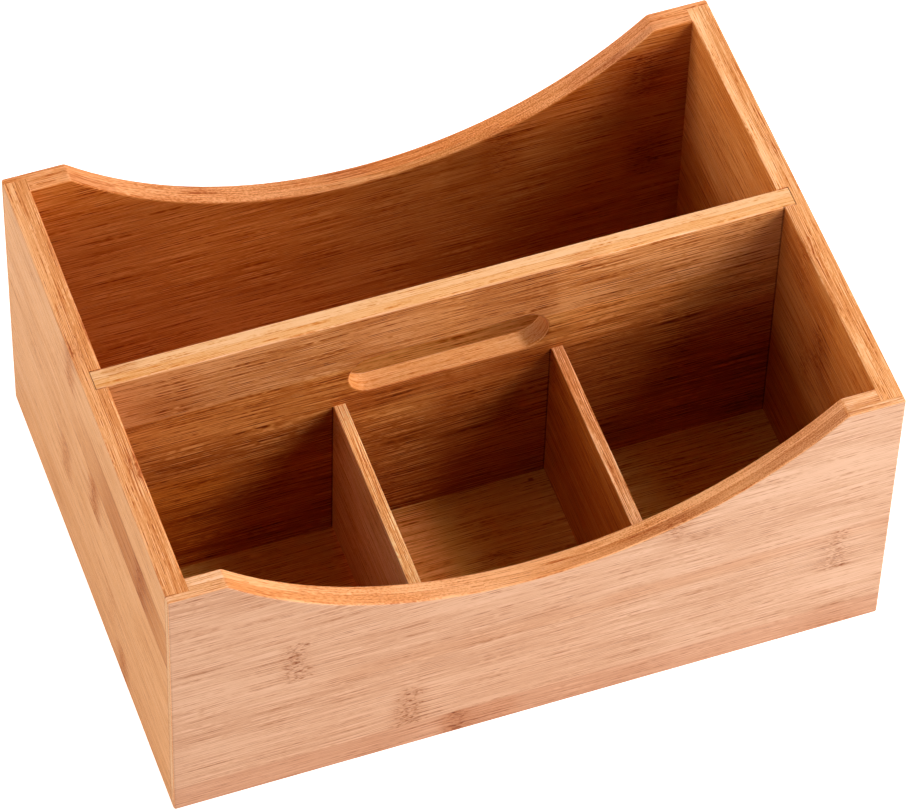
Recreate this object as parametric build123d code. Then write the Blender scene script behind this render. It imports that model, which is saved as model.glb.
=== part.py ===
from build123d import *
import os

# Bamboo organizer for a coffee station: four walls joined at rebated corners, a bottom held in a groove,
# one tall divider with a carrying slot, and two low partitions that split the front half into three bays.
# Millimetres. +X runs along the front to the right, +Y towards the back and +Z up.
# The origin lies on the table, under the middle of the box.

# Overall size
overall_width = 305.0
overall_depth = 220.5
overall_height = 145.0

# Board stock, laminated from bamboo strips and sanded to thickness
wall_thickness = 9.8
divider_thickness = 9.8
partition_thickness = 5.2
bottom_thickness = 5.2

# Sawn arches in the long walls: the straight top left at each end of the wall, and the drop at the middle.
# The shoulders are softened where the arch leaves the straight top.
front_arch_margin = 24.5
front_arch_depth = 52.3
back_arch_margin = 26.7
back_arch_depth = 50.2
arch_shoulder_radius = 3.0

# Corner joint: the long walls are rebated, and a thin lap of them covers the ends of the side walls
corner_lap = 3.2

# Bottom panel in its groove, which runs round all four walls above the table
bottom_groove_height = 4.5
bottom_groove_depth = 4.0
bottom_edge_clearance = 0.4

# Divider, housed in the side walls
front_bay_depth = 96.5
divider_housing_depth = 5.2
divider_end_clearance = 0.3

# Carrying slot through the divider
handle_length = 85.0
handle_height = 21.0
handle_top_margin = 27.0

# Partitions, housed in the front wall and in the divider
middle_bay_width = 88.3
partition_height = 82.8
partition_housing_depth = 2.6
partition_end_clearance = 0.2

# Sanded edges
edge_ease = 1.1
handle_edge_ease = 1.2
thin_edge_ease = 0.5

# One overrun for every cut that leaves its board
overrun = 2.0

# Places that follow from the sizes above
half_width = overall_width / 2
half_depth = overall_depth / 2
inner_half_width = half_width - wall_thickness
inner_half_depth = half_depth - wall_thickness
floor_top = bottom_groove_height + bottom_thickness
divider_front = front_bay_depth - inner_half_depth
divider_back = divider_front + divider_thickness
partition_top = floor_top + partition_height
partition_inner_face = middle_bay_width / 2
partition_outer_face = partition_inner_face + partition_thickness


def block(x_range, y_range, z_range):
    """A square-edged block between two places along each axis."""
    sizes = [high - low for low, high in (x_range, y_range, z_range)]
    middle = [(high + low) / 2 for low, high in (x_range, y_range, z_range)]
    return Pos(*middle) * Box(*sizes)


def above_table(edges):
    """The edges of a board that don't reach down to its foot."""
    return edges.filter_by(lambda edge: edge.bounding_box().min.Z > edge_ease)


# Long walls

def arched_outline(arch_margin, arch_depth):
    """A long wall seen from the front: straight foot and ends, and an arch sawn down between two shoulders."""
    arch_end = half_width - arch_margin
    left_shoulder = (-arch_end, overall_height)
    right_shoulder = (arch_end, overall_height)
    square_side = Polyline(
        left_shoulder,
        (-half_width, overall_height),
        (-half_width, 0),
        (half_width, 0),
        (half_width, overall_height),
        right_shoulder,
    )
    arch = ThreePointArc(right_shoulder, (0, overall_height - arch_depth), left_shoulder)
    outline = make_face([square_side, arch])
    shoulders = outline.vertices().filter_by(lambda v: abs(v.X) < half_width - arch_margin / 2)
    return fillet(shoulders, arch_shoulder_radius)


def long_wall(arch_margin, arch_depth):
    """A long wall in the place of the front one, rebated at both ends and grooved for the bottom."""
    outline = Plane.XZ.offset(inner_half_depth) * arched_outline(arch_margin, arch_depth)
    wall = extrude(outline, wall_thickness)

    # The outside is eased all round, as the box is sanded once it is glued
    outside = wall.faces().sort_by(Axis.Y)[0].edges()
    corners = wall.edges().filter_by(Axis.Y).filter_by(lambda edge: abs(edge.center().X) > inner_half_width)
    wall = fillet(outside + corners, edge_ease)

    # Rebates for the ends of the side walls
    rebate_depth = (corner_lap - half_depth, overrun - inner_half_depth)
    whole_height = (-overrun, overall_height + overrun)
    wall -= block((inner_half_width, half_width + overrun), rebate_depth, whole_height)
    wall -= block((-half_width - overrun, -inner_half_width), rebate_depth, whole_height)

    # The inside is eased along the top and round the arch, between the side walls
    inside = wall.faces().sort_by(Axis.Y)[-1].edges()
    wall = fillet(above_table(inside), edge_ease)

    groove_depth = (-inner_half_depth - bottom_groove_depth, overrun - inner_half_depth)
    wall -= block((-half_width, half_width), groove_depth, (bottom_groove_height, floor_top))
    return wall


def partition_housings(face_y, inward):
    """Stopped housings for both partitions, cut from face_y towards inward (-1 or 1 along Y)."""
    depth = sorted((face_y + inward * partition_housing_depth, face_y - inward * overrun))
    height = (floor_top, partition_top)
    right = block((partition_inner_face, partition_outer_face), depth, height)
    left = block((-partition_outer_face, -partition_inner_face), depth, height)
    return [left, right]


front_panel = long_wall(front_arch_margin, front_arch_depth)
front_panel -= partition_housings(-inner_half_depth, -1)

back_panel = long_wall(back_arch_margin, back_arch_depth).mirror(Plane.XZ)


# Side walls

def side_section(eased_inside):
    """Section of the right side wall, square to Y, with its outer edges eased and its inner top edge on request."""
    section = Rectangle(wall_thickness, overall_height, align=(Align.MAX, Align.MIN))
    section = Pos(half_width) * section
    rounded = section.vertices().filter_by(lambda v: v.X > inner_half_width + edge_ease)
    if eased_inside:
        rounded += section.vertices().filter_by(lambda v: v.X < half_width - edge_ease and v.Y > floor_top)
    return fillet(rounded, edge_ease)


def side_wall():
    """The right side wall: its ends reach past the long walls' inner faces into their rebates."""
    middle = Plane.XZ * side_section(eased_inside=True)
    wall = extrude(middle, inner_half_depth, both=True)
    tongue_length = wall_thickness - corner_lap
    front_tongue = extrude(Plane.XZ.offset(inner_half_depth) * side_section(eased_inside=False), tongue_length)
    wall += front_tongue
    wall += front_tongue.mirror(Plane.XZ)

    housing_width = (inner_half_width - overrun, inner_half_width + divider_housing_depth)
    wall -= block(housing_width, (divider_front, divider_back), (floor_top, overall_height + overrun))

    groove_width = (inner_half_width - overrun, inner_half_width + bottom_groove_depth)
    wall -= block(groove_width, (-half_depth, half_depth), (bottom_groove_height, floor_top))
    return wall


right_side = side_wall()
left_side = right_side.mirror(Plane.YZ)


# Bottom panel, loose in its groove by the clearance at its edges

bottom_half_width = inner_half_width + bottom_groove_depth - bottom_edge_clearance
bottom_half_depth = inner_half_depth + bottom_groove_depth - bottom_edge_clearance
bottom_panel = block(
    (-bottom_half_width, bottom_half_width),
    (-bottom_half_depth, bottom_half_depth),
    (bottom_groove_height, floor_top),
)


# Divider with its carrying slot

def on_slot_rim(edge, handle_middle):
    """Whether an edge runs along the rim of the carrying slot, on either face of the divider."""
    box = edge.bounding_box()
    crosses_board = box.size.Y > divider_thickness / 2
    near_slot = abs(edge.center().Z - handle_middle) < handle_height
    inside_board = max(abs(box.min.X), abs(box.max.X)) < handle_length
    return near_slot and inside_board and not crosses_board


def divider():
    """The tall divider, which stands on the bottom and is the handle of the box."""
    reach = inner_half_width + divider_housing_depth - divider_end_clearance
    board_height = overall_height - floor_top
    outline = Pos(0, floor_top) * Rectangle(2 * reach, board_height, align=(Align.CENTER, Align.MIN))
    handle_middle = overall_height - handle_top_margin - handle_height / 2
    outline -= Pos(0, handle_middle) * SlotOverall(handle_length, handle_height)
    board = extrude(Plane.XZ.offset(-divider_back) * outline, divider_thickness)

    # Both faces: the top edge and the rim of the slot
    top_edges = board.edges().filter_by(Axis.X).group_by(Axis.Z)[-1]
    board = fillet(top_edges, edge_ease)
    rims = board.edges().filter_by(lambda edge: on_slot_rim(edge, handle_middle))
    board = fillet(rims, handle_edge_ease)
    return board - partition_housings(divider_front, 1)


center_divider = divider()


# Partitions

def partition():
    """The right partition, which stands on the bottom between the front wall and the divider."""
    reach = partition_housing_depth - partition_end_clearance
    board = block(
        (partition_inner_face, partition_outer_face),
        (-inner_half_depth - reach, divider_front + reach),
        (floor_top, partition_top),
    )
    top_edges = board.edges().filter_by(Axis.Y).group_by(Axis.Z)[-1]
    return fillet(top_edges, thin_edge_ease)


right_partition = partition()
left_partition = right_partition.mirror(Plane.YZ)


# Write every piece

pieces = {
    "front_panel": front_panel,
    "back_panel": back_panel,
    "left_side": left_side,
    "right_side": right_side,
    "bottom_panel": bottom_panel,
    "center_divider": center_divider,
    "left_partition": left_partition,
    "right_partition": right_partition,
}

os.makedirs("parts", exist_ok=True)
for name, piece in pieces.items():
    export_step(piece, f"parts/{name}.step")
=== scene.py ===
import math

import bpy
from mathutils import Matrix, Vector


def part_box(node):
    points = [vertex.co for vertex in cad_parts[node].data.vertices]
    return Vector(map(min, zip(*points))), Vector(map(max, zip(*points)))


# A bamboo organizer for a coffee station: four walls, a bottom, a tall divider with a carrying slot and two
# low partitions, glued up from flat-pressed bamboo board, sanded and given one thin coat of satin lacquer.
# The scene is in metres.
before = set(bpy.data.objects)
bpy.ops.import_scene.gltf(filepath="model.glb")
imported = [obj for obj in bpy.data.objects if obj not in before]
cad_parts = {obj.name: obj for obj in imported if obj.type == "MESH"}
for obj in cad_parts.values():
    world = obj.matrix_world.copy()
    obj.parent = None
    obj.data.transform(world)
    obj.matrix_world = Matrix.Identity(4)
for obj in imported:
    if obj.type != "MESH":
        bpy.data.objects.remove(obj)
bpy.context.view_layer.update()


# Front panel
# The long wall at the front, sawn from two-ply bamboo board with its strips lying along the wall. The arch
# is band-sawn and sanded, so its edge shows both plies, and the wall's ends lap over the side walls.

# Patterns in the boards are laid out in millimetres
mm = 0.001

# The colour sockets of a Mix node, by number, because its sockets share their names
mix_first = 6
mix_second = 7
mix_result = 2


class Field:
    """A number or colour that varies through a board: a shader socket that takes part in plain sums."""

    def __init__(self, tree, socket=None):
        self.tree = tree
        self.socket = socket

    def node(self, kind, settings, sockets, out=0):
        """Adds any node: its settings are set first, then its sockets get their values or links."""
        made = self.tree.nodes.new(kind)
        for name, value in settings.items():
            if name == "stops":
                fill_ramp(made.color_ramp, value)
            else:
                setattr(made, name, value)
        for name, value in sockets.items():
            if isinstance(value, Field):
                self.tree.links.new(value.socket, made.inputs[name])
            else:
                made.inputs[name].default_value = value
        return None if out is None else Field(self.tree, made.outputs[out])

    def math(self, operation, first, second=0.0):
        """Adds one step of arithmetic."""
        return self.node("ShaderNodeMath", {"operation": operation}, {0: first, 1: second})

    def __add__(self, other):
        return self.math("ADD", self, other)

    def __sub__(self, other):
        return self.math("SUBTRACT", self, other)

    def __rsub__(self, other):
        return self.math("SUBTRACT", other, self)

    def __mul__(self, other):
        return self.math("MULTIPLY", self, other)

    def __truediv__(self, other):
        return self.math("DIVIDE", self, other)

    __radd__ = __add__
    __rmul__ = __mul__

    def magnitude(self):
        """The value without its sign."""
        return self.math("ABSOLUTE", self)

    def over(self, limit):
        """1 where the value is more than the limit, and 0 elsewhere."""
        return self.math("GREATER_THAN", self, limit)

    def rise(self, start, end):
        """A soft step from 0 at start to 1 at end, or down from 1 to 0 where end is the lower one."""
        low, high = min(start, end), max(start, end)
        step = self.node(
            "ShaderNodeMapRange",
            {"interpolation_type": "SMOOTHSTEP"},
            {"Value": self, "From Min": low, "From Max": high},
        )
        return step if end > start else 1 - step

    def blend(self, first, second):
        """A colour that goes from first to second as this field goes from 0 to 1."""
        settings = {"data_type": "RGBA"}
        sockets = {"Factor": self, mix_first: first, mix_second: second}
        return self.node("ShaderNodeMix", settings, sockets, out=mix_result)

    def tint(self, colour, glaze):
        """The colour seen through a glaze, as strong as this field."""
        settings = {"data_type": "RGBA", "blend_type": "MULTIPLY"}
        sockets = {"Factor": self, mix_first: colour, mix_second: glaze}
        return self.node("ShaderNodeMix", settings, sockets, out=mix_result)


def fill_ramp(ramp, stops):
    """Gives a ramp one flat step for each stop, a (place, colour) pair."""
    ramp.interpolation = "CONSTANT"
    while len(ramp.elements) < len(stops):
        ramp.elements.new(1.0)
    for element, (place, colour) in zip(ramp.elements, stops):
        element.position = place
        element.color = colour


def grain(first, second, length, width, detail=0.0, roughness=0.5):
    """Noise around 0 that reaches about length along the first field and width along the second one."""
    place = first.node("ShaderNodeCombineXYZ", {}, {0: first / length, 1: second / width})
    sockets = {"Vector": place, "Scale": 1.0, "Detail": detail, "Roughness": roughness}
    return first.node("ShaderNodeTexNoise", {"noise_dimensions": "2D"}, sockets) - 0.5


def near(field, middle, reach, fade):
    """1 within reach of the middle, and down to 0 over the fade."""
    return (field - middle).magnitude().rise(reach + fade, reach)


# How deep the stain is where the wood is plain, and on the whole, with its fibres, seams and nodes added
plain_depth = 0.44
mean_depth = 0.47


def shades(colour, contrast):
    """The lightest shade of a face, and the stain that takes it to its middle colour and its dark one."""
    stain = [(1 - share) / (1 + share) for share in contrast]
    light = [value / keep ** mean_depth for value, keep in zip(colour, stain)]
    return (*light, 1.0), (*stain, 1.0)


# The middle, reach and fade of a mark that isn't bounded that way
anywhere = (0.0, 1000.0, 1.0)

# The deep brown that the boards turn round the nodes
burnt_sugar = (0.60, 0.32, 0.08, 1.0)

# How far the pattern of the fibres moves on from one strip to the next and from one ply to the next, and
# how much of a strip's width the seams move on from one ply to the next
strip_step = 61.7
ply_step = 233.0
seam_step = 0.42

# How thick the glue between two plies shows, to each side of its middle, and how far it soaks in
glue_reach = 0.06
glue_soak = 0.26

# How deep the relief in the lacquer is, and how much of it shows
relief_depth = 0.15 * mm
relief_strength = 0.4

# The lacquer is satin: its roughness on plain wood
satin = 0.46


def bamboo(
    name, axes, rows, row_width, first_seam, plies, faces, length,
    ply_shift=0.37, from_top=False, marks=(), gloss=0.07, knots=4.0,
):
    """The material of one board of flat-pressed bamboo.

    axes names the directions along the fibres, across the strips and through the board. rows lists the
    strips of the seen ply from the lowest one up: where its node lies along the board, how strong the node
    is, how light the strip is and how brown it gets round its node. row_width is the width of a strip, and
    first_seam is the place of the lowest strip's upper seam. plies lists where the plies meet through the
    board, each with the step in tone that the sawn edge shows there. faces holds the shades of the low
    face, the high face, the sawn edges and the ends. length is the board's own, ply_shift is the part of it
    by which the nodes move on from one ply to the next, and from_top says that the high face is the seen
    one. A mark has its middle, reach and fade along, across and through, then the glaze through which the
    board is seen there, and how gritty it is. gloss is the lacquer's specular level, and knots is how rough
    the nodes are.
    """
    material = bpy.data.materials.new(name)
    material.use_nodes = True
    material.node_tree.nodes.clear()
    start = Field(material.node_tree)
    place = start.node("ShaderNodeTexCoord", {}, {}, out="Object")
    normal = start.node("ShaderNodeNewGeometry", {}, {}, out="Normal")
    along, across, through = [
        start.node("ShaderNodeSeparateXYZ", {}, {0: place}, out=axis) / mm for axis in axes
    ]

    # Which way the surface is turned: a face of the board, a sawn edge or a sawn end
    lean_along, lean_through = [
        start.node("ShaderNodeSeparateXYZ", {}, {0: normal}, out=axis) for axis in (axes[0], axes[2])
    ]
    face = lean_through.magnitude().rise(0.6, 0.92)
    end = lean_along.magnitude().rise(0.72, 0.92)
    edge = 1 - face

    # Which ply, counted from the seen face
    ply = sum(through.over(glue_line) for glue_line, step in plies)
    ply_tone = sum(through.over(glue_line) * step for glue_line, step in plies)
    glue = sum(near(through, glue_line, glue_reach, glue_soak) for glue_line, step in plies)
    if from_top:
        ply = len(plies) - ply

    # Which strip, and that strip's own values
    row_place = (across - first_seam) / row_width + ply * seam_step
    row = row_place.math("FLOOR", row_place) + 1
    stops = []
    for number, (node_place, strength, lightness, brownness) in enumerate(rows):
        stops.append((number / len(rows), (0.5 + node_place / length, strength, lightness, brownness)))
    table = row.node("ShaderNodeValToRGB", {"stops": stops}, {0: (row + 0.5) / len(rows)})
    brownness = Field(table.tree, table.socket.node.outputs["Alpha"])
    node_share, node_strength, lightness = [
        row.node("ShaderNodeSeparateColor", {}, {0: table}, out=channel) for channel in (0, 1, 2)
    ]
    shifted = node_share + ply * ply_shift
    node_place = (shifted.math("FRACT", shifted) - 0.5) * length

    # The node: the culm's knuckle, where the fibres are short and tangled
    is_sawn = edge.over(0.5)
    depth_place = across * (1 - is_sawn) + through * 1.3
    drift = grain(along, depth_place, 95.0, 22.0, 1.0)
    own_along = (along + row * strip_step + ply * ply_step) * (1 + is_sawn * 0.5)
    ragged = grain(along, depth_place, 9.0, 1.6)
    from_node = (along - node_place + ragged * 8.0).magnitude()
    near_node = from_node.rise(6.5, 2.0) * node_strength
    beside_node = from_node.rise(32.0, 6.0) * node_strength
    round_node = from_node.rise(11.0, 2.0) * node_strength * brownness
    wavy = depth_place + drift * 3.0 + ragged * near_node * 2.2
    tangle = grain(along + wavy * 1.4, wavy, 2.4, 0.55, 1.0, 0.6)
    fleck = tangle * near_node * knots * (1 - is_sawn * 0.4)

    # Fibres: broad soft ones, a few thin dark ones, and two sizes of fine ones that come and go
    fibres = grain(own_along, wavy, 240.0, 3.2, 1.0, 0.6)
    line = grain(own_along, wavy, 70.0, 0.8, 1.0, 0.5).rise(0.12, 0.26)
    broken = 1.0 + grain(own_along, wavy, 5.0, 1.8, 1.0, 0.8) * 5.0 + beside_node * 0.7
    hair = (grain(own_along, wavy, 45.0, 0.62) * 0.9 + grain(own_along, wavy, 30.0, 0.4) * 1.8) * broken

    # Pores, which the saw opens at the sawn edges, most where it cuts across the fibres
    cut = edge * (0.15 + lean_along.magnitude().rise(0.0, 0.3) * 0.85)
    pore = grain(along + across, through, 0.9, 0.7, 1.0, 0.6) * cut

    # Seams between the strips of a face
    in_row = row_place.math("FRACT", row_place)
    seam = (0.5 - (in_row - 0.5).magnitude()).rise(0.014, 0.0) * face

    # Where each mark lies, and how gritty it is there
    patches = []
    grit = 0.0
    for span_along, span_across, span_through, glaze, gritty in marks:
        patch = near(along, *span_along) * near(across, *span_across) * near(through, *span_through)
        patches.append((patch, (*glaze, 1.0)))
        grit = grit + patch * gritty

    # How deep the stain is with everything added. The lightest fibres level off softly.
    depth = (
        plain_depth
        + fibres * 0.4
        + hair * 1.4 * (1 - cut * 0.4)
        + line * 0.35
        + drift
        + (0.5 - lightness) * 2.0
        + fleck
        + tangle * grit
        + seam * 0.3
        + glue * edge * 0.5
        + ply_tone * edge
        + pore * 2.1
    )
    depth = depth.node("ShaderNodeMath", {"operation": "SMOOTH_MAX"}, {0: depth, 1: 0.0, 2: 0.6})
    brown = round_node * (0.56 + line * 0.3) + fleck.rise(0.08, 1.0) * 0.16

    # The wood's colour: its lightest shade, stained, browned round the nodes and seen through the marks
    high_side = lean_through.rise(-0.2, 0.2)
    light, stain = [
        edge.blend(high_side.blend(low, high), end.blend(sawn, end_grain))
        for low, high, sawn, end_grain in zip(*faces)
    ]
    stained = start.node("ShaderNodeGamma", {}, {"Color": stain, "Gamma": depth})
    wood = start.node("ShaderNodeVectorMath", {"operation": "MULTIPLY"}, {0: light, 1: stained})
    colour = brown.tint(wood, burnt_sugar)
    for patch, glaze in patches:
        colour = patch.tint(colour, glaze)

    # Flecks, dark fibres and glue lines lie a little lower in the lacquer
    relief = hair * 0.5 - line * 0.5 - fleck * 1.5 - glue * 0.4
    sockets = {"Height": relief, "Strength": relief_strength, "Distance": relief_depth}
    lacquer = start.node("ShaderNodeBump", {}, sockets)
    sockets = {
        "Base Color": colour,
        "Roughness": satin + fibres * 0.25 + near_node * 0.08 + pore * 0.2,
        "Normal": lacquer,
        "Specular IOR Level": gloss,
    }
    shader = start.node("ShaderNodeBsdfPrincipled", {}, sockets)
    start.node("ShaderNodeOutputMaterial", {}, {"Surface": shader}, out=None)
    return material


def finish_board(node, material):
    """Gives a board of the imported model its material."""
    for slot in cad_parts[node].material_slots:
        slot.material = material


# The lacquered board: the front, which is the palest, partly as painted light, the other faces turned
# outwards, the faces that look into the box, here and on the boards below, which are deeper, partly as
# painted shade, and the sawn edges, which are the most golden
front_face_painted_light = shades((0.660, 0.349, 0.203), (0.13, 0.21, 0.28))
outer_face = shades((0.650, 0.302, 0.118), (0.13, 0.22, 0.36))
inner_face_painted_shade = shades((0.552, 0.157, 0.0245), (0.23, 0.44, 0.76))
sawn_edge = shades((0.830, 0.328, 0.112), (0.18, 0.36, 0.58))

panel_low, panel_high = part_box("front_panel")
panel_length = (panel_high.x - panel_low.x) / mm
front_glue = (panel_low.y + panel_high.y) / 2 / mm
front_rows = [
    (-32.5, 0.9, 0.50, 0.7),
    (-52.5, 1.0, 0.54, 0.5),
    (130.0, 0.8, 0.45, 0.2),
    (-100.8, 1.0, 0.51, 0.3),
    (58.0, 0.7, 0.52, 0.6),
    (10.0, 0.0, 0.50, 0.0),
]
front_skin = (panel_low.y / mm, 3.0, 1.0)
inner_ply = (front_glue + 2.3, 2.0, 0.5)
outer_ply = (front_glue - 2.1, 1.8, 0.5)
front_marks = [
    # The sawn edge: browner in the outer ply of the arch, rough in one place, paler on the straight tops
    ((80.0, 47.0, 30.0), anywhere, outer_ply, (0.84, 0.74, 0.62), 0.0),
    ((58.0, 12.0, 12.0), anywhere, outer_ply, (0.86, 0.78, 0.72), 1.2),
    ((112.0, 15.0, 12.0), anywhere, (front_glue, 4.0, 0.8), (0.91, 0.87, 0.84), 0.0),
    ((-114.0, 13.0, 2.0), anywhere, inner_ply, (1.02, 1.02, 1.02), 0.0),
    ((-95.0, 33.0, 40.0), anywhere, outer_ply, (0.90, 0.80, 0.66), 0.0),
    ((-145.0, 16.0, 1.0), anywhere, (front_glue, 4.0, 0.8), (1.07, 1.28, 1.65), 0.0),
    ((145.0, 16.0, 1.0), anywhere, (front_glue, 4.0, 0.8), (1.07, 1.28, 1.65), 0.0),
    # The face: a darker lowest strip with a brown node, paler towards the right, and two darker streaks
    (anywhere, (6.0, 8.0, 1.2), front_skin, (0.94, 0.86, 0.82), 0.0),
    ((-22.0, 12.0, 8.0), (6.0, 8.0, 1.2), front_skin, (0.94, 0.86, 0.80), 1.2),
    ((130.0, 60.0, 70.0), (80.0, 60.0, 40.0), front_skin, (1.02, 1.07, 1.12), 0.0),
    ((105.0, 70.0, 10.0), (64.5, 2.2, 2.0), front_skin, (0.97, 0.92, 0.88), 0.0),
    ((10.0, 80.0, 30.0), (62.5, 2.8, 3.0), front_skin, (0.96, 0.91, 0.86), 0.0),
]
front_bamboo = bamboo(
    "bamboo_front", ("X", "Z", "Y"), front_rows, 26.5, 14.5, [(front_glue, -0.10)],
    (front_face_painted_light, inner_face_painted_shade, sawn_edge, outer_face), panel_length, marks=front_marks, gloss=0.2, knots=8.0,
)
finish_board("front_panel", front_bamboo)


# Back panel
# The long wall at the back, from the same board and sawn and rebated in the same way, with a slightly
# shallower arch. Its inner face, deep partly as painted shade, is the one that shows over the divider.

back_edge = shades((0.805, 0.293, 0.094), (0.18, 0.36, 0.58))
back_low, back_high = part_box("back_panel")
back_glue = (back_low.y + back_high.y) / 2 / mm
back_rows = [
    (-95.0, 0.6, 0.49, 0.5),
    (20.0, 0.2, 0.50, 0.5),
    (127.0, 0.7, 0.49, 1.2),
    (60.6, 0.6, 0.51, 0.8),
    (122.0, 0.7, 0.50, 1.1),
    (-120.0, 0.3, 0.52, 0.4),
]
back_skin = (back_low.y / mm, 3.0, 1.0)
back_marks = [
    # The sawn edge, with a few browner and rougher places
    ((-116.0, 9.0, 1.0), anywhere, (back_glue - 2.0, 2.1, 0.4), (0.86, 0.76, 0.66), 0.0),
    ((-5.0, 7.0, 8.0), (100.0, 20.0, 5.0), (back_glue + 2.0, 1.8, 0.8), (0.86, 0.76, 0.70), 1.6),
    ((110.0, 15.0, 12.0), (130.0, 20.0, 5.0), (back_glue, 4.0, 0.4), (0.87, 0.79, 0.76), 0.8),
    ((35.0, 26.0, 16.0), (100.0, 20.0, 5.0), (back_glue, 4.0, 0.4), (1.02, 0.97, 0.90), 0.5),
    # The inner face: painted shade over its lower right and its upper right, where the right wall shades
    # it, a darker place under the arch, and brown and rough round its nodes
    ((105.0, 60.0, 105.0), (58.0, 32.0, 22.0), back_skin, (0.80, 0.86, 0.82), 0.0),
    ((46.0, 7.0, 6.0), (86.0, 8.0, 6.0), back_skin, (0.88, 0.80, 0.70), 0.0),
    ((124.0, 18.0, 12.0), (115.0, 25.0, 10.0), back_skin, (0.87, 0.88, 0.92), 0.0),
    ((127.0, 7.0, 9.0), (68.0, 13.0, 5.0), back_skin, (0.86, 0.72, 0.66), 1.5),
    ((122.0, 9.0, 12.0), (118.0, 14.0, 5.0), back_skin, (0.86, 0.74, 0.70), 1.5),
    ((60.0, 7.0, 6.0), (88.0, 10.0, 6.0), back_skin, (0.95, 0.88, 0.78), 0.6),
]
back_bamboo = bamboo(
    "bamboo_back", ("X", "Z", "Y"), back_rows, 26.5, 25.5, [(back_glue, 0.08)],
    (inner_face_painted_shade, outer_face, back_edge, outer_face), panel_length, marks=back_marks,
)
finish_board("back_panel", back_bamboo)


# Side walls
# Two short walls with straight tops. Their strips run front to back, and their ends sit in the rebates of
# the long walls, so that only a thin dark line shows at each corner. One strip of the left wall is stained.

left_edge = shades((0.850, 0.350, 0.120), (0.18, 0.36, 0.58))
side_low, side_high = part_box("left_side")
side_length = (side_high.y - side_low.y) / mm
left_glue = (side_low.x + side_high.x) / 2 / mm
left_rows = [
    (-43.0, 0.9, 0.48, 0.9),
    (-29.5, 0.5, 0.53, 0.4),
    (30.5, 0.8, 0.53, 0.8),
    (-10.7, 1.0, 0.51, 1.0),
    (-73.0, 0.9, 0.50, 0.9),
    (18.0, 0.9, 0.53, 0.8),
]
left_skin = (side_low.x / mm, 4.0, 1.0)
left_marks = [
    # The line where the front panel laps over the end
    ((side_low.y / mm, 0.35, 0.3), anywhere, left_skin, (0.62, 0.42, 0.26), 0.0),
    # The stained strip, with a thin line along each of its seams
    ((-90.0, 45.0, 90.0), (108.3, 12.2, 0.5), left_skin, (0.86, 0.76, 0.62), 0.0),
    ((-58.0, 14.0, 45.0), (108.3, 12.0, 0.8), left_skin, (0.86, 0.75, 0.62), 0.0),
    ((-60.0, 40.0, 70.0), (97.2, 0.5, 0.9), left_skin, (0.86, 0.76, 0.66), 0.0),
    ((-60.0, 40.0, 60.0), (119.3, 0.4, 0.8), left_skin, (0.88, 0.80, 0.70), 0.0),
]
left_bamboo = bamboo(
    "bamboo_left", ("Y", "Z", "X"), left_rows, 24.8, 21.5, [(left_glue, 0.24)],
    (outer_face, inner_face_painted_shade, left_edge, left_edge), side_length,
    ply_shift=0.71, marks=left_marks, gloss=0.2, knots=6.0,
)
finish_board("left_side", left_bamboo)

right_inner = shades((0.548, 0.163, 0.027), (0.20, 0.42, 0.72))
right_edge = shades((0.845, 0.360, 0.129), (0.18, 0.36, 0.58))
right_rows = [
    (40.0, 0.5, 0.50, 0.5),
    (-60.0, 0.5, 0.48, 0.5),
    (55.0, 0.4, 0.50, 0.5),
    (-36.6, 0.7, 0.48, 0.6),
    (-49.0, 1.0, 0.52, 0.7),
    (-26.6, 0.7, 0.51, 0.5),
]
right_skin = (-side_high.x / mm, 3.0, 1.0)
right_marks = [
    # The inner face: painted shade high up in the front bay, painted light high up at the back, and painted
    # shade at its foot, a deeper orange
    ((-30.0, 26.0, 8.0), (118.0, 28.0, 10.0), right_skin, (0.90, 0.86, 0.84), 0.0),
    ((50.0, 52.0, 5.0), (112.0, 36.0, 16.0), right_skin, (1.12, 1.18, 1.30), 0.0),
    (anywhere, (20.0, 25.0, 35.0), right_skin, (0.96, 0.88, 0.52), 0.0),
]
right_bamboo = bamboo(
    "bamboo_right", ("Y", "Z", "X"), right_rows, 25.0, 19.0, [(-left_glue, 0.18)],
    (right_inner, outer_face, right_edge, right_edge), side_length, ply_shift=0.25, marks=right_marks,
)
finish_board("right_side", right_bamboo)


# Bottom panel
# A thin board whose strips run along the box. It lies loose in a groove in all four walls, a little above
# the table, and carries the divider and the partitions.

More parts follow.
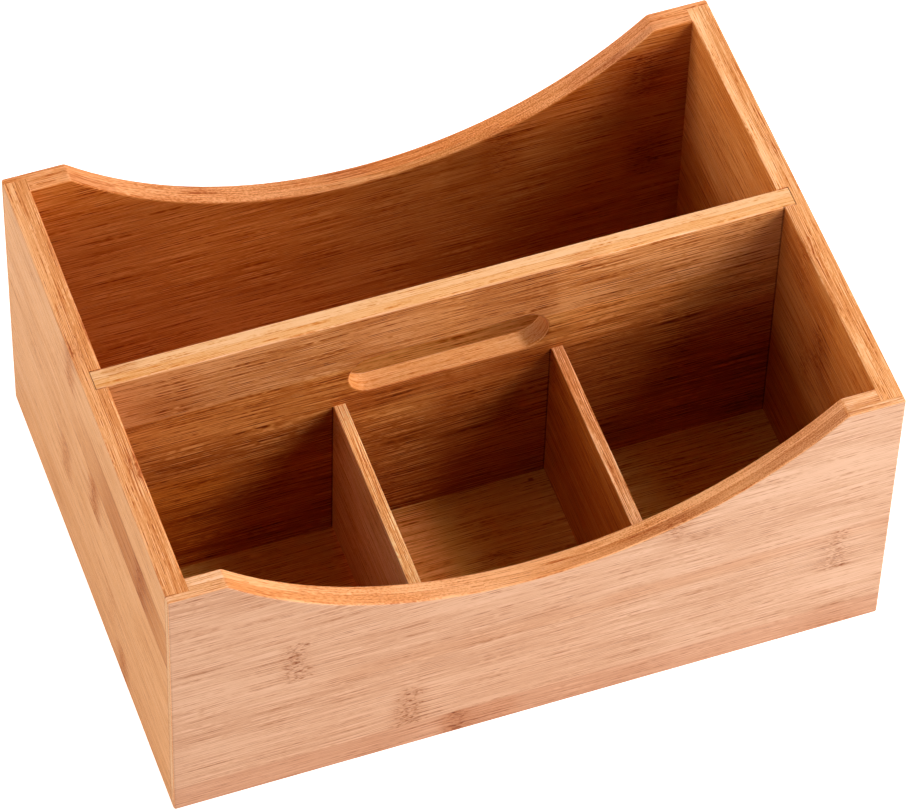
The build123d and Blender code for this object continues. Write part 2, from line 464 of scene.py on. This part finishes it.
bottom_low, bottom_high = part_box("bottom_panel")
bottom_length = (bottom_high.x - bottom_low.x) / mm
bottom_glue = (bottom_low.z + bottom_high.z) / 2 / mm
bottom_inner = shades((0.750, 0.365, 0.070), (0.18, 0.36, 0.62))
bottom_rows = [
    (40.0, 0.6, 0.50, 0.6),
    (-80.0, 0.6, 0.53, 0.5),
    (10.0, 0.7, 0.47, 0.7),
    (95.0, 0.5, 0.52, 0.5),
    (-30.0, 0.6, 0.50, 0.6),
    (60.0, 0.6, 0.48, 0.5),
    (-110.0, 0.5, 0.52, 0.6),
    (0.0, 0.0, 0.50, 0.6),
    (80.0, 0.5, 0.53, 0.5),
    (-60.0, 0.6, 0.48, 0.6),
]
bottom_skin = (bottom_high.z / mm, 1.0, 0.5)
bottom_marks = [
    # A torn spot beside the divider; painted light, a paler and pinker patch, where the main light falls in
    # the middle bay; and the floor less red in the left bay, lighter and more olive in the right bay,
    # redder in the back
    ((37.0, 0.6, 1.0), (-7.5, 0.4, 0.8), bottom_skin, (0.45, 0.25, 0.10), 2.0),
    ((-30.0, 14.0, 14.0), (-50.0, 40.0, 14.0), bottom_skin, (1.18, 0.96, 1.24), 0.0),
    ((-110.0, 58.0, 4.0), (-50.0, 40.0, 14.0), bottom_skin, (0.91, 0.95, 0.97), 0.0),
    ((120.0, 24.0, 34.0), (-50.0, 40.0, 14.0), bottom_skin, (1.13, 1.28, 1.08), 0.0),
    (anywhere, (50.0, 40.0, 14.0), bottom_skin, (1.14, 0.90, 0.95), 0.0),
]
bottom_bamboo = bamboo(
    "bamboo_bottom", ("X", "Y", "Z"), bottom_rows, 23.5, -82.0, [(bottom_glue, 0.0)],
    (outer_face, bottom_inner, sawn_edge, sawn_edge), bottom_length, from_top=True, marks=bottom_marks,
)
finish_board("bottom_panel", bottom_bamboo)


# Center divider
# The tall board that the box is carried by. It is housed in both side walls, and its slot is routed
# through, with the rim eased by hand. The router tore a few fibres out of its lower rim, and the housings
# of the partitions, cut a little too high, are filled above them.

divider_low, divider_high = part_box("center_divider")
divider_length = (divider_high.x - divider_low.x) / mm
divider_glue = (divider_low.y + divider_high.y) / 2 / mm
divider_inner = shades((0.462, 0.144, 0.0265), (0.38, 0.60, 0.82))
divider_edge = shades((0.850, 0.372, 0.121), (0.11, 0.28, 0.54))
divider_rows = [
    (60.0, 0.3, 0.49, 0.5),
    (-26.0, 0.4, 0.47, 0.9),
    (27.0, 0.45, 0.46, 0.8),
    (102.0, 0.45, 0.46, 0.9),
    (-110.0, 0.0, 0.51, 0.6),
    (37.0, 0.3, 0.62, 0.6),
    (57.3, 0.5, 0.62, 1.0),
]
divider_skin = (divider_low.y / mm, 0.3, 0.9)
inside_slot = (divider_glue, 4.2, 0.7)
slot_middle = 107.5
divider_marks = [
    # Inside the slot, which is rough, and browner at its right end
    ((0.0, 43.5, 1.0), (slot_middle, 11.5, 1.0), inside_slot, (1.00, 0.90, 0.83), 1.0),
    ((39.0, 4.0, 4.0), (108.0, 11.5, 2.0), inside_slot, (0.64, 0.54, 0.42), 2.5),
    # Painted shade: dark lines where the partitions and the right wall meet the board, for the shade in the
    # thin gaps there, and the shade that the right wall casts on the board
    ((44.0, 0.25, 0.35), (51.0, 41.0, 0.5), divider_skin, (0.42, 0.34, 0.30), 0.0),
    ((-49.5, 0.25, 0.35), (51.0, 41.0, 0.5), divider_skin, (0.42, 0.34, 0.30), 0.0),
    ((142.5, 0.25, 0.4), anywhere, divider_skin, (0.48, 0.40, 0.36), 0.0),
    ((127.0, 18.0, 10.0), (52.0, 32.0, 10.0), divider_skin, (0.95, 0.84, 1.10), 0.0),
    # The torn fibres, the filled places above the partitions, and a pale scratch
    ((-8.0, 6.0, 3.0), (97.6, 1.2, 0.8), divider_skin, (0.84, 0.72, 0.62), 1.0),
    ((48.0, 1.6, 0.8), (94.6, 1.6, 1.0), divider_skin, (0.95, 0.85, 0.75), 0.4),
    ((-48.6, 1.6, 0.8), (95.6, 2.0, 1.0), divider_skin, (0.95, 0.85, 0.75), 0.4),
    ((-72.7, 2.2, 0.8), (73.0, 0.15, 0.3), divider_skin, (1.50, 1.60, 1.80), 0.0),
    # Darker and paler parts of the face, most of them painted shade and painted light
    # Darker just under the slot, and round the node high up in the middle
    ((0.0, 43.0, 4.0), (91.0, 5.0, 3.0), divider_skin, (0.80, 0.68, 0.60), 0.0),
    ((27.0, 15.0, 8.0), (131.0, 15.0, 3.0), divider_skin, (0.86, 0.80, 0.76), 0.0),
    # Painted shade where the right partition shades the middle bay
    ((23.0, 22.0, 12.0), (45.0, 45.0, 6.0), divider_skin, (0.88, 0.74, 0.62), 0.0),
    ((24.0, 18.0, 12.0), (18.0, 12.0, 16.0), divider_skin, (0.86, 0.76, 1.20), 0.0),
    # Painted shade low in the left bay: a deeper orange
    ((-100.0, 50.0, 8.0), (45.0, 22.0, 14.0), divider_skin, (1.02, 0.93, 0.70), 0.0),
    ((-122.0, 22.0, 12.0), (30.0, 34.0, 12.0), divider_skin, (1.13, 1.10, 0.78), 0.0),
    # Painted shade where the right wall shades the right bay
    ((100.0, 45.0, 12.0), (45.0, 42.0, 10.0), divider_skin, (0.95, 0.80, 0.64), 0.0),
    # The top strip, paler and bluer, partly its own tone and partly painted light, most on the right
    ((80.0, 30.0, 15.0), (130.0, 14.0, 4.0), divider_skin, (1.13, 1.18, 1.26), 0.0),
    ((-75.0, 25.0, 12.0), (130.0, 14.0, 4.0), divider_skin, (1.06, 1.14, 1.22), 0.0),
    (anywhere, (131.0, 15.5, 1.2), divider_skin, (0.93, 0.95, 1.22), 0.0),
    ((90.0, 85.0, 30.0), (131.0, 15.5, 1.2), divider_skin, (1.07, 1.10, 1.08), 0.0),
    # Painted shade low in the left bay
    ((-75.0, 25.0, 12.0), (28.0, 20.0, 12.0), divider_skin, (0.86, 0.80, 0.90), 0.0),
    # Beside the slot: darker on the left, and painted light on the right
    ((-75.0, 70.0, 12.0), (103.0, 10.0, 3.0), divider_skin, (0.93, 0.87, 0.80), 0.0),
    ((75.0, 18.0, 10.0), (103.0, 10.0, 4.0), divider_skin, (1.18, 1.16, 1.18), 0.0),
    # The paler ply along the back of the top edge
    (anywhere, (145.0, 1.2, 0.4), (divider_glue + 2.6, 2.5, 0.4), (1.02, 1.10, 1.28), 0.0),
]
divider_bamboo = bamboo(
    "bamboo_divider", ("X", "Z", "Y"), divider_rows, 24.5, 16.5, [(divider_glue, -0.25)],
    (divider_inner, divider_inner, divider_edge, divider_edge), divider_length,
    ply_shift=0.35, marks=divider_marks,
)
finish_board("center_divider", divider_bamboo)


# Partitions
# Two low, thin boards that part the front half into three bays, housed in the front panel and in the
# divider. They are of three-ply board, which shows as stripes along their tops.

# Where the middle ply of a partition starts and ends, from the board's middle, and its step in tone
ply_start = -0.9
ply_end = 1.1
ply_step_in_tone = 0.22

partition_low, partition_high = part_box("right_partition")
partition_length = (partition_high.y - partition_low.y) / mm
partition_middle = (partition_low.x + partition_high.x) / 2 / mm
# The two partitions are of one board. The left one's face and top are lighter, as painted light, and the
# right one's face is darker, as painted shade.
right_partition_face_painted_shade = shades((0.440, 0.111, 0.011), (0.25, 0.48, 0.78))
left_partition_face_painted_light = shades((0.730, 0.415, 0.180), (0.20, 0.38, 0.64))
right_partition_edge = shades((0.880, 0.385, 0.155), (0.24, 0.46, 0.66))
left_partition_edge_painted_light = shades((0.980, 0.480, 0.182), (0.20, 0.44, 0.64))
right_partition_rows = [
    (10.0, 0.5, 0.50, 0.5),
    (-20.0, 0.5, 0.48, 0.5),
    (24.0, 0.4, 0.50, 0.5),
    (-7.0, 0.9, 0.50, 0.7),
    (26.0, 0.4, 0.52, 0.5),
]
left_partition_rows = [
    (20.0, 0.5, 0.48, 0.5),
    (-30.0, 0.5, 0.50, 0.5),
    (14.0, 0.4, 0.50, 0.5),
    (-9.6, 0.6, 0.50, 0.5),
    (30.0, 0.4, 0.52, 0.5),
]
for node, rows, side, face, edge in (
    ("right_partition", right_partition_rows, 1, right_partition_face_painted_shade, right_partition_edge),
    ("left_partition", left_partition_rows, -1, left_partition_face_painted_light, left_partition_edge_painted_light),
):
    middle = side * partition_middle
    plies = [(middle + ply_start, ply_step_in_tone), (middle + ply_end, -ply_step_in_tone)]
    material = bamboo(
        "bamboo_" + node, ("Y", "Z", "X"), rows, 22.0, 26.0, plies,
        (face, face, edge, edge), partition_length,
    )
    finish_board(node, material)


# Table and backdrop
# A plain white table top that runs on far past the picture, and white all round. They aren't part of the
# box. The top lies a hair under the feet of the walls, so that no two faces share a plane.

table_reach = 6.0
table_height = -0.05 * mm
table_mesh = bpy.data.meshes.new("table_top")
table_corners = [
    (x * table_reach, y * table_reach, table_height) for x, y in ((-1, -1), (1, -1), (1, 1), (-1, 1))
]
table_mesh.from_pydata(table_corners, [], [(0, 1, 2, 3)])
table_top = bpy.data.objects.new("table_top", table_mesh)
bpy.context.scene.collection.objects.link(table_top)

table_white = bpy.data.materials.new("table_white")
table_white.use_nodes = True
table_white.node_tree.nodes.clear()
paint = Field(table_white.node_tree)
matt_white = paint.node("ShaderNodeBsdfDiffuse", {}, {"Color": (0.82, 0.82, 0.82, 1.0)})

# Lifted to white where the camera looks at it, and only there
camera_lift = 0.85
seen_directly = paint.node("ShaderNodeLightPath", {}, {}, out="Is Camera Ray")
lift = paint.node("ShaderNodeEmission", {}, {"Strength": seen_directly * camera_lift})
table_shader = paint.node("ShaderNodeAddShader", {}, {0: matt_white, 1: lift})
paint.node("ShaderNodeOutputMaterial", {}, {"Surface": table_shader}, out=None)
table_mesh.materials.append(table_white)

# All round, what the camera and the gloss of the lacquer see is white. A low band of bright walls, given as
# the height where it ends and the height where it starts to fade, lights the outside of the box evenly and
# hardly reaches into it.
band_end = 0.34
band_fade = 0.24
band_level = 1.5
studio = bpy.data.worlds.new("white_studio")
bpy.context.scene.world = studio
studio.use_nodes = True
studio.node_tree.nodes.clear()
air = Field(studio.node_tree)
ray_kinds = ("Is Camera Ray", "Is Glossy Ray", "Is Transmission Ray")
seen = [air.node("ShaderNodeLightPath", {}, {}, out=kind) for kind in ray_kinds]
shown = sum(seen).over(0.5)
direction = air.node("ShaderNodeTexCoord", {}, {}, out="Generated")
height = air.node("ShaderNodeSeparateXYZ", {}, {0: direction}, out="Z")
room_light = height.rise(band_end, band_fade) * band_level
strength = shown + (1 - shown) * room_light
sky = air.node("ShaderNodeBackground", {}, {"Color": (1.0, 1.0, 1.0, 1.0), "Strength": strength})
air.node("ShaderNodeOutputWorld", {}, {"Surface": sky}, out=None)


# Lights
# Seven square softboxes of one size, all as far from the box. The main one stands to the right of the front
# and high, and the others fill from low in front, the right, the back and the left.

box_middle = Vector((0.0, 0.0, 0.07))
softbox_distance = 1.8
softbox_size = 0.75


def softbox(name, azimuth, elevation, level):
    """A softbox that looks at the box. Azimuth 0 is straight in front and 90 is at the right, in degrees.

    Level 1 lights a surface that faces it to about its own colour.
    """
    turn = math.radians(azimuth)
    tilt = math.radians(elevation)
    away = Vector((math.sin(turn) * math.cos(tilt), -math.cos(turn) * math.cos(tilt), math.sin(tilt)))
    light = bpy.data.lights.new(name, "AREA")
    light.shape = "SQUARE"
    light.size = softbox_size
    light.energy = level * (math.pi * softbox_distance) ** 2
    holder = bpy.data.objects.new(name, light)
    holder.location = box_middle + away * softbox_distance
    holder.rotation_mode = "QUATERNION"
    holder.rotation_quaternion = away.to_track_quat("Z", "Y")
    bpy.context.scene.collection.objects.link(holder)


softbox("main_softbox", 62, 43, 0.54)
softbox("right_softbox", 105, 55, 0.24)
softbox("front_softbox", 32, 14, 0.45)
softbox("back_softbox", 148, 28, 0.20)
softbox("back_left_softbox", -148, 24, 0.12)
softbox("low_left_softbox", -100, 9, 0.46)
softbox("high_left_softbox", -105, 40, 0.12)


# Camera
# High above the left front corner and far off, with a long lens, as the photograph was taken. The focal
# length is in pixels of the photograph.

focal_length = 5663.04
photo_width = 906
camera_place = Vector((-0.49803, -1.29993, 1.92034))
look_right = Vector((0.94262, -0.33317, 0.02159))
look_down = Vector((-0.25424, -0.75822, -0.60038))
look_ahead = Vector((0.2164, 0.56044, -0.79942))
photographer = bpy.data.cameras.new("photographer")
photographer.sensor_width = 36.0
photographer.lens = focal_length * photographer.sensor_width / photo_width
photographer.clip_start = 0.1
photographer.clip_end = 20.0
camera = bpy.data.objects.new("photographer", photographer)
turned = Matrix((look_right, -look_down, -look_ahead)).transposed()
camera.matrix_world = Matrix.Translation(camera_place) @ turned.to_4x4()
bpy.context.scene.collection.objects.link(camera)
bpy.context.scene.camera = camera
bpy.context.scene.view_settings.view_transform = "Standard"
